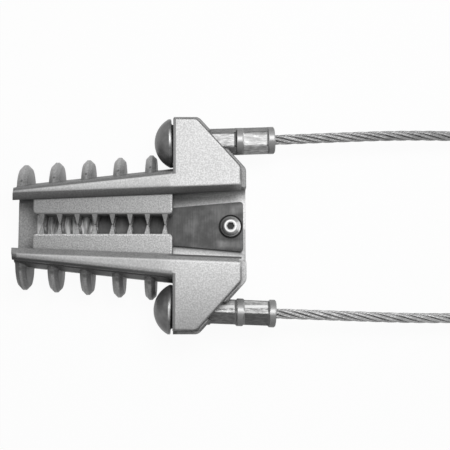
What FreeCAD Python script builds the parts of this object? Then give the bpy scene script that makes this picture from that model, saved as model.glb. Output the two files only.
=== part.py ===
import FreeCAD, Part
import math
import os

import Sketcher
from FreeCAD import Placement, Rotation, Vector

# Wedge anchor clamp, lying on its hoop ribs with its open front face up.
# X runs along the clamp from the narrow cable end to the wide bail end, Y across it and Z up.
# Every piece is drawn with X measured from the narrow end and then moved back by half the length,
# so that the origin ends up under the middle of the clamp, on the surface that it lies on.

doc = FreeCAD.newDocument("wedge_anchor_clamp")

SIZES = {
    # casting, overall
    "ear_start": 92.1,
    "ear_length": 39.2,
    "ear_flange": 3.0,
    "body_height": 38.0,
    "back_height": 9.0,
    "ear_back_height": 6.0,
    # channel and lips
    "jaw_angle": 2.3,
    "lip_gap_start": 13.7,
    "lip_overhang": 2.5,
    "lip_depth": 4.2,
    "lip_bevel": 3.5,
    "channel_depth": 21.5,
    "floor_round": 3.0,
    # outer wall
    "outer_angle": 6.2,
    "outer_half_start": 23.5,
    "outer_round": 5.0,
    "crest_inset": 5.1,
    "crest_round": 2.2,
    "ledge_inset": 2.2,
    "ledge_drop": 6.5,
    "slope_drop": 13.0,
    "end_slant": 0.9,
    "end_slant_width": 4.5,
    # ears
    "ear_half_width": 61.1,
    "ear_top_length": 13.7,
    "ear_slant_rise": 28.1,
    "ear_rim": 2.0,
    "ear_plate_thickness": 7.0,
    "ear_corner_round": 4.5,
    "front_edge_round": 1.4,
    "ear_core_setback": 5.9,
    "ear_core_length": 26.0,
    "ear_core_depth": 21.0,
    "ear_core_wall": 6.3,
    "ear_core_gap": 3.5,
    # hoop ribs
    "rib_count": 5,
    "rib_start": 1.0,
    "rib_pitch": 18.6,
    "rib_thickness": 6.1,
    "rib_half_start": 37.2,
    "rib_half_growth": 1.5,
    "rib_climb": 17.0,
    "rib_least_slope": 1.16,
    "rib_root_drop": 7.0,
    "rib_root_sink": 1.0,
    "rib_edge_bevel": 2.2,
    # cross ribs under the ears
    "heel_rib_setback": 8.9,
    "heel_rib_pitch": 23.0,
    "heel_rib_half": 34.0,
    "heel_rib_round": 10.0,
    # jaws
    "jaw_start": 11.7,
    "jaw_length": 79.8,
    "jaw_top_drop": 4.5,
    "jaw_half_opening": 5.7,
    "jaw_corner_round": 2.2,
    "jaw_edge_bevel": 0.5,
    "jaw_heel_bevel": 3.4,
    "tooth_pitch": 10.1,
    "tooth_offset": 4.9,
    "tooth_end_margin": 3.5,
    "tooth_base": 3.3,
    "tooth_tip": 0.7,
    "tooth_root": 0.5,
    "tooth_facet_drop": 3.0,
    "cable_drop": 12.8,
    "cable_radius": 4.4,
    # keeper plate, washer and screw
    "plate_start": 45.0,
    "plate_end_inset": 1.4,
    "plate_half_start": 7.1,
    "plate_angle": 5.1,
    "plate_thickness": 1.5,
    "plate_corner_round": 2.0,
    "plate_nose_round": 6.0,
    "ring_inner_radius": 6.25,
    "ring_outer_radius": 7.0,
    "ring_depth": 0.7,
    "screw_inset": 8.9,
    "screw_radius": 3.0,
    "screw_length": 10.0,
    "head_radius": 5.25,
    "head_height": 3.3,
    "socket_width": 4.0,
    "socket_depth": 2.2,
    "screw_edge": 0.6,
    "screw_flat": 1.1,
    "washer_radius": 6.0,
    "washer_thickness": 1.6,
    "washer_hole_radius": 3.2,
    "washer_edge_bevel": 0.3,
    # floor details at the narrow end
    "step_gap": 1.0,
    "step_length": 12.0,
    "step_half_width": 8.0,
    "step_height": 1.2,
    # bail terminals
    "pivot_setback": 9.1,
    "pivot_inset": 12.5,
    "pivot_drop": 15.0,
    "splay_angle": 2.3,
    "droop_angle": 2.0,
    "swing_angle": 4.0,
    "dome_radius": 14.4,
    "dome_depth": 10.4,
    "dome_band": 1.6,
    "dome_edge_bevel": 0.4,
    "dome_back": 7.9,
    "seat_radius": 14.0,
    "sleeve_radius": 8.05,
    "sleeve_inset": 2.0,
    "sleeve_length": 66.5,
    "sleeve_chamfer": 0.7,
    "crimp_flats": 14.4,
    "crimp_length": 14.4,
    "crimp_gap": 4.6,
    "crimp_end_collar": 4.2,
    "crimp_slope": 0.9,
    "crimp_run_out": 0.5,
    "rope_radius": 3.0,
    "rope_depth": 20.0,
    # clearances
    "slide_clearance": 0.2,
    "centre_clearance": 0.15,
    "fit_clearance": 0.05,
    "seat_clearance": 0.3,
    "slot_clearance": 0.55,
    "slot_near_play": 0.2,
    # lengths by which cuts and blocks overlap their neighbours
    "wall_overlap": 8.0,
    "cut_overrun": 5.0,
}

# Within these amounts, lengths count as the same and an edge is picked by its place.
SAME_LENGTH = 0.01
SLACK = 0.1

# Places that follow from the sizes, as expressions. Lengths along X start at the narrow end.
RAIL_END = "(ear_start + ear_length)"
BODY_END = f"({RAIL_END} + ear_flange)"
FLOOR = "(body_height - channel_depth)"
PLATE_TOP = f"({FLOOR} + plate_thickness)"
PLATE_END = f"({BODY_END} - plate_end_inset)"
SCREW_PLACE = f"({BODY_END} - screw_inset)"
EAR_TOP_END = "(ear_start + ear_top_length)"
EAR_SHELF = "(body_height - ear_plate_thickness)"
EAR_SLANT_HALF = "(ear_half_width - ear_slant_rise)"
RIB_TOP = "(body_height - rib_root_drop)"
PIVOT_PLACE = "(ear_start - pivot_setback)"
PIVOT_SIDE = "(ear_half_width - pivot_inset)"
PIVOT_HEIGHT = "(body_height - pivot_drop)"
CABLE_HEIGHT = "(body_height - cable_drop)"
SLEEVE_END = "(sleeve_inset + sleeve_length)"

sheet = doc.addObject("Spreadsheet::Sheet", "Sizes")
for row, (alias, value) in enumerate(SIZES.items(), start=1):
    sheet.set(f"A{row}", alias)
    sheet.set(f"B{row}", str(value))
    sheet.setAlias(f"B{row}", alias)
doc.recompute()


def size(alias):
    """Value of one driving dimension, as a plain number."""
    return float(sheet.get(alias))


def named(text):
    """Expression text in which every driving dimension is read from the sheet."""
    words = []
    word = ""
    for letter in text + " ":
        if letter.isalnum() or letter == "_":
            word += letter
            continue
        words.append("Sizes." + word if word in SIZES else word)
        words.append(letter)
        word = ""
    return "".join(words).strip()


def value_of(text):
    """Number that an expression over the driving dimensions gives now."""
    result = sheet.evalExpression(named(text))
    return float(getattr(result, "Value", result))


# Sketch and feature helpers

def origin_plane(body, role):
    """Origin plane of a body, such as XY_Plane."""
    return next(item for item in body.Origin.OriginFeatures if item.Role == role)


def new_body(label):
    """Empty body that carries one node's name, moved to the part's own origin."""
    body = doc.addObject("PartDesign::Body", label)
    body.Label = label
    body.setExpression("Placement.Base.x", named(f"0 - {BODY_END} / 2"))
    return body


def new_sketch(body, name, plane, height="0"):
    """Sketch on an origin plane of its body, lifted along the plane's normal."""
    sketch = body.newObject("Sketcher::SketchObject", name)
    sketch.AttachmentSupport = [(origin_plane(body, plane), "")]
    sketch.MapMode = "FlatFace"
    sketch.setExpression("AttachmentOffset.Base.z", named(height))
    return sketch


def fix_coordinate(sketch, kind, geometry, point, text):
    """Tie one coordinate of a sketch point to an expression."""
    value = value_of(text)
    number = sketch.addConstraint(Sketcher.Constraint(kind, -1, 1, geometry, point, value))
    sketch.setExpression(f"Constraints[{number}]", named(text))


def draw_outline(sketch, corners):
    """Closed outline. A corner is (x, y) or (x, y, radius), all as expressions.

    With a radius, the stretch that leaves the corner is an arc bulging to the right of the
    way round, or to the left for a radius that starts with a minus sign.
    """
    points = [Vector(value_of(corner[0]), value_of(corner[1]), 0) for corner in corners]
    ends = []
    for index, corner in enumerate(corners):
        start = points[index]
        finish = points[(index + 1) % len(points)]
        if len(corner) == 2:
            geometry = sketch.addGeometry(Part.LineSegment(start, finish), False)
            ends.append((geometry, 1, 2))
            continue
        bulges_left = corner[2].startswith("-")
        text = corner[2].lstrip("-")
        radius = value_of(text)
        chord = finish - start
        reach = math.sqrt(max(radius ** 2 - (chord.Length / 2) ** 2, 0.0))
        side = Vector(-chord.y, chord.x, 0) / chord.Length
        centre = (start + finish) / 2 + side * (-reach if bulges_left else reach)
        first, second = (finish, start) if bulges_left else (start, finish)
        angle_from = math.atan2(first.y - centre.y, first.x - centre.x)
        angle_to = math.atan2(second.y - centre.y, second.x - centre.x)
        circle = Part.Circle(centre, Vector(0, 0, 1), radius)
        geometry = sketch.addGeometry(Part.ArcOfCircle(circle, angle_from, angle_to), False)
        ends.append((geometry, 2, 1) if bulges_left else (geometry, 1, 2))
        number = sketch.addConstraint(Sketcher.Constraint("Radius", geometry, radius))
        sketch.setExpression(f"Constraints[{number}]", named(text))
    for index, corner in enumerate(corners):
        before = ends[index - 1]
        after = ends[index]
        sketch.addConstraint(Sketcher.Constraint("Coincident", before[0], before[2], after[0], after[1]))
        fix_coordinate(sketch, "DistanceX", after[0], after[1], corner[0])
        fix_coordinate(sketch, "DistanceY", after[0], after[1], corner[1])


def draw_circle(sketch, x, y, radius):
    """Circle whose centre and radius follow expressions."""
    centre = Vector(value_of(x), value_of(y), 0)
    circle = Part.Circle(centre, Vector(0, 0, 1), value_of(radius))
    geometry = sketch.addGeometry(circle, False)
    fix_coordinate(sketch, "DistanceX", geometry, 3, x)
    fix_coordinate(sketch, "DistanceY", geometry, 3, y)
    number = sketch.addConstraint(Sketcher.Constraint("Radius", geometry, value_of(radius)))
    sketch.setExpression(f"Constraints[{number}]", named(radius))


def add_pad(body, sketch, length, name):
    """Pad along the sketch's normal."""
    pad = body.newObject("PartDesign::Pad", name)
    pad.Profile = sketch
    pad.setExpression("Length", named(length))
    sketch.Visibility = False
    return pad


def add_pocket(body, sketch, length, name, upward=True):
    """Pocket that cuts along the sketch's normal, or against it."""
    pocket = body.newObject("PartDesign::Pocket", name)
    pocket.Profile = sketch
    pocket.Reversed = upward
    pocket.setExpression("Length", named(length))
    return pocket


def run_slanted(feature, angle):
    """Let a pad or pocket run along the clamp at an angle to its middle plane."""
    feature.UseCustomVector = True
    feature.AlongSketchNormal = True
    feature.Direction = Vector(1, value_of(f"tan({angle})"), 0)
    feature.setExpression("Direction.y", named(f"tan({angle})"))


def add_mirror(body, originals, name):
    """Copies of features on the other side of the clamp's middle plane."""
    mirror = body.newObject("PartDesign::Mirrored", name)
    mirror.Originals = originals
    mirror.MirrorPlane = (origin_plane(body, "XZ_Plane"), [""])
    body.Tip = mirror
    return mirror


def pick_edges(feature, wanted):
    """Names of the edges whose middle point and edge pass a test."""
    doc.recompute()
    names = []
    for number, edge in enumerate(feature.Shape.Edges, start=1):
        if edge.Degenerated:
            continue
        middle = edge.valueAt((edge.FirstParameter + edge.LastParameter) / 2)
        if wanted(edge, middle):
            names.append(f"Edge{number}")
    return names


def add_fillet(body, base, radius, wanted, name):
    """Rounding of the edges that pass a test."""
    names = pick_edges(base, wanted)
    fillet = body.newObject("PartDesign::Fillet", name)
    fillet.Base = (base, names)
    fillet.setExpression("Radius", named(radius))
    return fillet


def add_chamfer(body, base, width, wanted, name):
    """Bevel of the edges that pass a test."""
    names = pick_edges(base, wanted)
    chamfer = body.newObject("PartDesign::Chamfer", name)
    chamfer.Base = (base, names)
    chamfer.setExpression("Size", named(width))
    return chamfer


def near(first, second):
    """True where two lengths are the same to a hundredth."""
    return abs(first - second) < SAME_LENGTH


def direction(edge):
    """Unit vector along an edge at its middle."""
    return edge.tangentAt((edge.FirstParameter + edge.LastParameter) / 2)


def upright(edge):
    """True for an edge along Z."""
    return abs(direction(edge).z) > 1 - SAME_LENGTH


def lengthwise(edge):
    """True for an edge that runs along the clamp, give or take a few degrees."""
    return abs(direction(edge).x) > 1 - SLACK


def crosswise(edge):
    """True for an edge that runs square to the length of the clamp."""
    return abs(direction(edge).x) < SAME_LENGTH


# Widths that change along the clamp

def lip_half(place):
    """Half the gap between the front lips at a distance from the narrow end."""
    return f"(lip_gap_start + ({place}) * tan(jaw_angle))"


def wall_half(place):
    """Half the width of the channel behind the lips."""
    return f"({lip_half(place)} + lip_overhang)"


def outer_half(place):
    """Half the outer width of the channel."""
    return f"(outer_half_start + ({place}) * tan(outer_angle))"


def draw_taper(sketch, start, end, half):
    """Symmetric outline whose half width follows a function of the place."""
    draw_outline(sketch, [
        (start, f"0 - {half(start)}"),
        (end, f"0 - {half(end)}"),
        (end, half(end)),
        (start, half(start)),
    ])


# Casting

def build_casting():
    """Channel with front lips, hoop ribs and ears, cast in one piece."""
    body = new_body("clamp_body")
    side = add_rail(body)
    ear = add_ear(body)
    both = add_mirror(body, [side] + ear, "other_side")
    doc.recompute()
    round_ears(body, both)
    cut_ball_seat(body)
    add_ribs(body)
    cut_channel(body)
    body.Tip = cut_terminal_slots(body)
    return body


def add_rail(body):
    """Middle of the casting up to the ears, and the wall of one side with its crest and ledge."""
    def crest(place):
        return f"({outer_half(place)} - crest_inset)"

    core = new_sketch(body, "core_outline", "XY_Plane", "back_height")
    end = "(ear_start + ear_flange)"
    draw_outline(core, [
        ("0", f"0 - ({crest('0')} - end_slant_width)"),
        ("end_slant", f"0 - {crest('end_slant')}"),
        (end, f"0 - {crest(end)}"),
        (end, crest(end)),
        ("end_slant", crest("end_slant")),
        ("0", f"{crest('0')} - end_slant_width"),
    ])
    add_pad(body, core, "body_height - back_height", "core")

    flank = new_sketch(body, "flank_section", "YZ_Plane", "end_slant")
    edge = outer_half("end_slant")
    draw_outline(flank, [
        (f"{edge} - wall_overlap", "back_height"),
        (f"{edge} - outer_round", "back_height", "outer_round"),
        (edge, "back_height + outer_round"),
        (edge, "body_height - slope_drop"),
        (f"{edge} - ledge_inset", "body_height - ledge_drop"),
        (f"{edge} - crest_inset + crest_round", "body_height - ledge_drop"),
        (f"{edge} - crest_inset + crest_round", "body_height - crest_round", "crest_round"),
        (f"{edge} - crest_inset", "body_height"),
        (f"{edge} - wall_overlap", "body_height"),
    ])
    side = add_pad(body, flank, f"{end} - end_slant", "flank")
    run_slanted(side, "outer_angle")
    return side


def add_ear(body):
    """One ear, with a front plate on a thicker, slightly larger block."""
    run = "(ear_length - ear_top_length)"
    slope = f"sqrt(pow({run}; 2) + pow(ear_slant_rise; 2))"
    corner_y = f"({EAR_SLANT_HALF} + (ear_rim * {slope} - ear_flange * ear_slant_rise) / {run})"
    corner_x = f"({EAR_TOP_END} + ear_rim * ({slope} - {run}) / ear_slant_rise)"
    block = new_sketch(body, "ear_block_outline", "XY_Plane", "ear_back_height")
    draw_outline(block, [
        ("ear_start", "0"),
        (BODY_END, "0"),
        (BODY_END, corner_y),
        (corner_x, "ear_half_width + ear_rim"),
        ("ear_start", "ear_half_width + ear_rim"),
    ])
    ear_block = add_pad(body, block, f"{EAR_SHELF} - ear_back_height", "ear_block")
    plate = new_sketch(body, "ear_plate_outline", "XY_Plane", EAR_SHELF)
    draw_outline(plate, [
        ("ear_start", "lip_gap_start"),
        (RAIL_END, "lip_gap_start"),
        (RAIL_END, EAR_SLANT_HALF),
        (EAR_TOP_END, "ear_half_width"),
        ("ear_start", "ear_half_width"),
    ])
    ear_plate = add_pad(body, plate, "ear_plate_thickness", "ear_plate")
    return [ear_block, ear_plate]


def round_ears(body, base):
    """Rounded corners and front edges of both ears."""
    slant_foot = value_of(EAR_SLANT_HALF) - size("ear_rim")

    def corner(edge, middle):
        outer = middle.x > size("ear_start") + SLACK and abs(middle.y) > slant_foot
        return upright(edge) and outer

    corners = add_fillet(body, base, "ear_corner_round", corner, "ear_corners")

    def front_edge(edge, middle):
        beyond_left_edge = middle.x > size("ear_start") + SLACK
        outer = abs(middle.y) > size("lip_gap_start") + SLACK
        return near(middle.z, size("body_height")) and beyond_left_edge and outer

    add_fillet(body, corners, "front_edge_round", front_edge, "ear_front_edges")


def add_ribs(body):
    """Hoops round the back, each wider than the one before."""
    for index in range(int(size("rib_count"))):
        place = f"(rib_start + {index} * rib_pitch)"
        half = f"(rib_half_start + {index} * rib_half_growth)"
        root = f"({outer_half(place)} - rib_root_sink)"
        # an arm is taller than it is wide, so that it never curls back over its root
        reach = f"({half} - {root})"
        climb = f"max(rib_climb; rib_least_slope * {reach})"
        tip = f"({RIB_TOP} - {climb})"
        flank = f"((pow({reach}; 2) + pow({climb}; 2)) / (2 * {reach}))"
        sketch = new_sketch(body, f"rib_{index + 1}_outline", "YZ_Plane", place)
        draw_outline(sketch, [
            (f"0 - ({half} - {tip})", "0"),
            (f"{half} - {tip}", "0", tip),
            (half, tip, flank),
            (root, RIB_TOP),
            (f"0 - {root}", RIB_TOP, flank),
            (f"0 - {half}", tip, tip),
        ])
        add_pad(body, sketch, "rib_thickness", f"rib_{index + 1}")

    for name, place in (
            ("heel_rib_1", "ear_start + heel_rib_setback"),
            ("heel_rib_2", "ear_start + heel_rib_setback + heel_rib_pitch")):
        sketch = new_sketch(body, f"{name}_outline", "YZ_Plane", place)
        draw_outline(sketch, [
            ("0 - (heel_rib_half - heel_rib_round)", "0"),
            ("heel_rib_half - heel_rib_round", "0", "heel_rib_round"),
            ("heel_rib_half", "heel_rib_round"),
            ("0 - heel_rib_half", "heel_rib_round", "heel_rib_round"),
        ])
        solid = add_pad(body, sketch, "rib_thickness", name)

    last_end = size("rib_start") + size("rib_count") * size("rib_pitch")

    def rim(edge, middle):
        if middle.x > last_end or not crosswise(edge):
            return False
        index = int((middle.x - size("rib_start") + size("rib_edge_bevel")) // size("rib_pitch"))
        start = size("rib_start") + index * size("rib_pitch")
        on_face = near(middle.x, start) or near(middle.x, start + size("rib_thickness"))
        beside_wall = abs(middle.y) > value_of(outer_half(str(middle.x))) + SLACK
        return on_face and (beside_wall or middle.z < size("back_height") - SLACK)

    add_chamfer(body, solid, "rib_edge_bevel", rim, "rib_rims")


def cut_channel(body):
    """Tapered channel for the jaws, with overhanging front lips."""
    channel = new_sketch(body, "channel_outline", "XY_Plane", FLOOR)
    end = f"({BODY_END} + cut_overrun)"
    draw_taper(channel, "0 - cut_overrun", end, wall_half)
    add_pocket(body, channel, "channel_depth - lip_depth", "channel")
    mouth = new_sketch(body, "mouth_outline", "XY_Plane", FLOOR)
    draw_taper(mouth, "0 - cut_overrun", end, lip_half)
    add_pocket(body, mouth, "channel_depth + cut_overrun", "mouth")

    bevel = new_sketch(body, "lip_bevel_section", "YZ_Plane", "0 - cut_overrun")
    lip = lip_half("0 - cut_overrun")
    crest = f"({lip} + lip_bevel)"
    fall = "front_edge_round * (1 - cos(45))"
    reach = "front_edge_round * tan(22.5)"
    draw_outline(bevel, [
        (f"{lip} - lip_bevel", "body_height - 2 * lip_bevel"),
        (f"{crest} - {fall}", f"body_height - {fall}", "-front_edge_round"),
        (f"{crest} + {reach}", "body_height"),
        (f"{crest} + {reach}", "body_height + cut_overrun"),
        (f"{lip} - lip_bevel", "body_height + cut_overrun"),
    ])
    cut = add_pocket(
        body, bevel, f"{BODY_END} + 2 * cut_overrun", "lip_bevel", upward=False)
    run_slanted(cut, "jaw_angle")
    crests = add_mirror(body, [cut], "other_lip_bevel")
    length = value_of(BODY_END)

    def gutter(edge, middle):
        at_wall = abs(middle.y) > value_of(wall_half(str(middle.x))) - SLACK
        return near(middle.z, value_of(FLOOR)) and at_wall and edge.Length > length / 2

    gutters = add_fillet(body, crests, "floor_round", gutter, "floor_gutters")

    step = new_sketch(body, "step_outline", "XY_Plane", f"{FLOOR} - step_height")
    step_end = "(plate_start - step_gap)"
    draw_outline(step, [
        (f"{step_end} - step_length", "0 - step_half_width"),
        (f"{step_end} - step_half_width", "0 - step_half_width", "step_half_width"),
        (step_end, "0", "step_half_width"),
        (f"{step_end} - step_half_width", "step_half_width"),
        (f"{step_end} - step_length", "step_half_width"),
    ])
    add_pad(body, step, "2 * step_height", "floor_step")
    tapped = new_sketch(body, "screw_hole_outline", "XY_Plane")
    draw_circle(tapped, SCREW_PLACE, "0", "screw_radius + fit_clearance")
    return add_pocket(body, tapped, f"{FLOOR} + cut_overrun", "screw_hole")


def cut_terminal_slots(body):
    """Slots that the bail sleeves pass through, and casting cores, in the two ears."""
    near_face = f"(ear_start - {PIVOT_PLACE})"
    far_face = f"({RAIL_END} - {PIVOT_PLACE})"
    sections = []
    for name, reach, swing in (
            ("slot_near", near_face, "slot_near_play"),
            ("slot_far", far_face, f"{far_face} * tan(swing_angle)")):
        radius = "(sleeve_radius + slot_clearance)"
        middle = f"({PIVOT_SIDE} + {reach} * tan(splay_angle))"
        low = f"({PIVOT_HEIGHT} - {reach} * tan(droop_angle))"
        sketch = new_sketch(body, name, "YZ_Plane", f"{PIVOT_PLACE} + {reach}")
        draw_outline(sketch, [
            (f"{middle} - {radius}", low, radius),
            (middle, f"{low} - {radius}", radius),
            (f"{middle} + {radius}", low),
            (f"{middle} + {radius}", f"{low} + {swing}", radius),
            (middle, f"{low} + {swing} + {radius}", radius),
            (f"{middle} - {radius}", f"{low} + {swing}"),
        ])
        sections.append(sketch)
    slot = body.newObject("PartDesign::SubtractiveLoft", "terminal_slot")
    slot.Profile = sections[0]
    slot.Sections = [sections[1]]
    slot.Ruled = True

    core = new_sketch(body, "ear_core_outline", "XY_Plane", "ear_back_height - cut_overrun")
    start = "(ear_start + ear_core_setback)"
    end = f"({start} + ear_core_length)"
    inner = f"({wall_half(end)} + ear_core_wall)"
    outer = f"({PIVOT_SIDE} - sleeve_radius - slot_clearance - ear_core_gap)"
    draw_outline(core, [(start, inner), (end, inner), (end, outer), (start, outer)])
    hollow = add_pocket(body, core, "ear_core_depth + cut_overrun", "ear_core")
    return add_mirror(body, [slot, hollow], "other_slot")


def cut_ball_seat(body):
    """Hollow that the ball shoulder of each terminal bears in."""
    seat = body.newObject("PartDesign::SubtractiveSphere", "ball_seat")
    seat.AttachmentSupport = [(origin_plane(body, "XY_Plane"), "")]
    seat.MapMode = "FlatFace"
    seat.setExpression("Radius", named("seat_radius + seat_clearance"))
    seat.setExpression("AttachmentOffset.Base.x", named(PIVOT_PLACE))
    seat.setExpression("AttachmentOffset.Base.y", named(PIVOT_SIDE))
    seat.setExpression("AttachmentOffset.Base.z", named(PIVOT_HEIGHT))
    add_mirror(body, [seat], "other_ball_seat")


# Jaws

def build_jaw(label, side):
    """Toothed wedge for one side. The side is 1 for +Y and -1 for -Y."""
    body = new_body(label)
    base = "(body_height - jaw_top_drop)"
    heel = f"({PLATE_TOP} + slide_clearance)"
    end = "(jaw_start + jaw_length)"

    def across(text):
        return text if side > 0 else f"0 - {text}"

    def back(place):
        return f"({wall_half(place)} - slide_clearance)"

    block = new_sketch(body, label + "_outline", "XY_Plane", heel)
    draw_outline(block, [
        ("jaw_start", across("jaw_half_opening")),
        (end, across("jaw_half_opening")),
        (end, across(back(end))),
        ("jaw_start", across(back("jaw_start"))),
    ])
    solid = add_pad(body, block, f"{base} - {heel}", label + "_block")

    def heel_edge(edge, middle):
        at_wall = near(abs(middle.y), value_of(back(str(middle.x))))
        return near(middle.z, value_of(heel)) and at_wall and lengthwise(edge)

    solid = add_chamfer(body, solid, "jaw_heel_bevel", heel_edge, label + "_heel")

    def corner(edge, middle):
        return upright(edge)

    solid = add_fillet(body, solid, "jaw_corner_round", corner, label + "_corners")

    def rim(edge, middle):
        return near(middle.z, value_of(base))

    solid = add_chamfer(body, solid, "jaw_edge_bevel", rim, label + "_rim")

    tooth = new_sketch(body, label + "_tooth_outline", "XY_Plane", heel)
    first = "(jaw_start + tooth_offset)"
    draw_outline(tooth, [
        (f"{first} - tooth_base / 2", across("(jaw_half_opening + tooth_root)")),
        (f"{first} - tooth_base / 2", across("jaw_half_opening")),
        (f"{first} - tooth_tip / 2", across("centre_clearance")),
        (f"{first} + tooth_tip / 2", across("centre_clearance")),
        (f"{first} + tooth_base / 2", across("jaw_half_opening")),
        (f"{first} + tooth_base / 2", across("(jaw_half_opening + tooth_root)")),
    ])
    tooth_pad = add_pad(body, tooth, f"{base} - {heel} - jaw_edge_bevel", label + "_tooth")
    row = body.newObject("PartDesign::LinearPattern", label + "_teeth")
    row.Originals = [tooth_pad]
    row.Direction = (origin_axis(body, "X_Axis"), [""])
    teeth = "(floor((jaw_length - tooth_offset - tooth_end_margin) / tooth_pitch) + 1)"
    row.setExpression("Occurrences", named(teeth))
    row.setExpression("Length", named(f"({teeth} - 1) * tooth_pitch"))
    body.Tip = row
    doc.recompute()

    facet = new_sketch(body, label + "_facet_section", "YZ_Plane")
    high = f"({base} - jaw_edge_bevel)"
    draw_outline(facet, [
        (across("jaw_half_opening"), high),
        (across("(0 - tooth_tip)"), f"{high} - tooth_facet_drop"),
        (across("(0 - tooth_tip)"), f"{base} + cut_overrun"),
        (across("jaw_half_opening"), f"{base} + cut_overrun"),
    ])
    add_through(body, facet, label + "_facets")
    groove = new_sketch(body, label + "_groove_section", "YZ_Plane")
    draw_circle(groove, "0", CABLE_HEIGHT, "cable_radius")
    body.Tip = add_through(body, groove, label + "_groove")
    return body


def origin_axis(body, role):
    """Origin axis of a body, such as X_Axis."""
    return next(item for item in body.Origin.OriginFeatures if item.Role == role)


def add_through(body, sketch, name):
    """Cut along the whole clamp."""
    return add_pocket(body, sketch, BODY_END, name)


# Keeper plate and its fixing

def build_plate():
    """Tapered plate on the channel floor, with a pressed ring round its washer."""
    body = new_body("keeper_plate")

    def half(place):
        return f"(plate_half_start + (({place}) - plate_start) * tan(plate_angle))"

    outline = new_sketch(body, "plate_outline", "XY_Plane", FLOOR)
    draw_taper(outline, "plate_start", PLATE_END, half)
    solid = add_pad(body, outline, "plate_thickness", "plate")
    end = value_of(PLATE_END)

    def tail(edge, middle):
        return upright(edge) and near(middle.x, end)

    def nose(edge, middle):
        return upright(edge) and near(middle.x, size("plate_start"))

    solid = add_fillet(body, solid, "plate_corner_round", tail, "plate_tail")
    add_fillet(body, solid, "plate_nose_round", nose, "plate_nose")
    ring = new_sketch(body, "plate_ring_outline", "XY_Plane", PLATE_TOP)
    draw_circle(ring, SCREW_PLACE, "0", "ring_outer_radius")
    draw_circle(ring, SCREW_PLACE, "0", "ring_inner_radius")
    add_pocket(body, ring, "ring_depth", "plate_ring", upward=False)
    hole = new_sketch(body, "plate_hole_outline", "XY_Plane")
    draw_circle(hole, SCREW_PLACE, "0", "washer_hole_radius")
    body.Tip = add_pocket(body, hole, "body_height", "plate_hole")
    return body


def build_washer():
    """Flat washer under the screw head."""
    body = new_body("keeper_washer")
    sketch = new_sketch(body, "washer_outline", "XY_Plane", PLATE_TOP)
    draw_circle(sketch, SCREW_PLACE, "0", "washer_radius")
    draw_circle(sketch, SCREW_PLACE, "0", "washer_hole_radius")
    solid = add_pad(body, sketch, "washer_thickness", "washer")

    def rim(edge, middle):
        on_rim = edge.Length > 2 * math.pi * size("washer_radius") - SLACK
        return on_rim and near(middle.z, value_of(f"{PLATE_TOP} + washer_thickness"))

    body.Tip = add_chamfer(body, solid, "washer_edge_bevel", rim, "washer_rim")
    return body


def build_screw():
    """Button head screw with a hexagon socket, its thread drawn as a plain shank."""
    body = new_body("keeper_screw")
    seat = f"({PLATE_TOP} + washer_thickness)"
    profile = new_sketch(body, "screw_profile", "XZ_Plane")
    flat = "(socket_width / 2 / cos(30) + screw_flat)"
    reach = f"(head_radius - {flat})"
    rise = "(head_height - screw_edge)"
    dome = f"((pow({reach}; 2) + pow({rise}; 2)) / (2 * {rise}) + screw_edge)"
    draw_outline(profile, [
        (SCREW_PLACE, f"{seat} - screw_length"),
        (f"{SCREW_PLACE} + screw_radius - screw_edge", f"{seat} - screw_length"),
        (f"{SCREW_PLACE} + screw_radius", f"{seat} - screw_length + screw_edge"),
        (f"{SCREW_PLACE} + screw_radius", seat),
        (f"{SCREW_PLACE} + head_radius", seat),
        (f"{SCREW_PLACE} + head_radius", f"{seat} + screw_edge", dome),
        (f"{SCREW_PLACE} + {flat}", f"{seat} + head_height"),
        (SCREW_PLACE, f"{seat} + head_height"),
    ])
    turn = body.newObject("PartDesign::Revolution", "screw_turned")
    turn.Profile = profile
    axis = add_axis(body, "screw_axis", SCREW_PLACE)
    turn.ReferenceAxis = (axis, [""])
    turn.Angle = 360
    socket = new_sketch(body, "socket_outline", "XY_Plane", f"{seat} + head_height")
    corners = []
    for step in range(6):
        angle = 60 * step
        across = f"socket_width / 2 / cos(30) * cos({angle})"
        along = f"socket_width / 2 / cos(30) * sin({angle})"
        corners.append((f"{SCREW_PLACE} + {across}", along))
    draw_outline(socket, corners)
    body.Tip = add_pocket(body, socket, "socket_depth", "socket", upward=False)
    return body


def add_axis(body, name, place):
    """Upright datum line at a distance from the narrow end."""
    line = body.newObject("PartDesign::Line", name)
    line.setExpression("Placement.Base.x", named(place))
    return line


# Bail terminals

def place_terminal(body, side, roll):
    """Put a piece drawn along +X from the ball centre on one ear's splayed axis."""
    place = f"{PIVOT_PLACE} - {BODY_END} / 2"
    base = f"create(<<vector>>; {place}; {side} * {PIVOT_SIDE}; {PIVOT_HEIGHT})"
    turn = f"create(<<rotation>>; {side} * splay_angle; droop_angle; {roll})"
    body.setExpression("Placement", named(f"create(<<placement>>; {base}; {turn})"))


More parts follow.
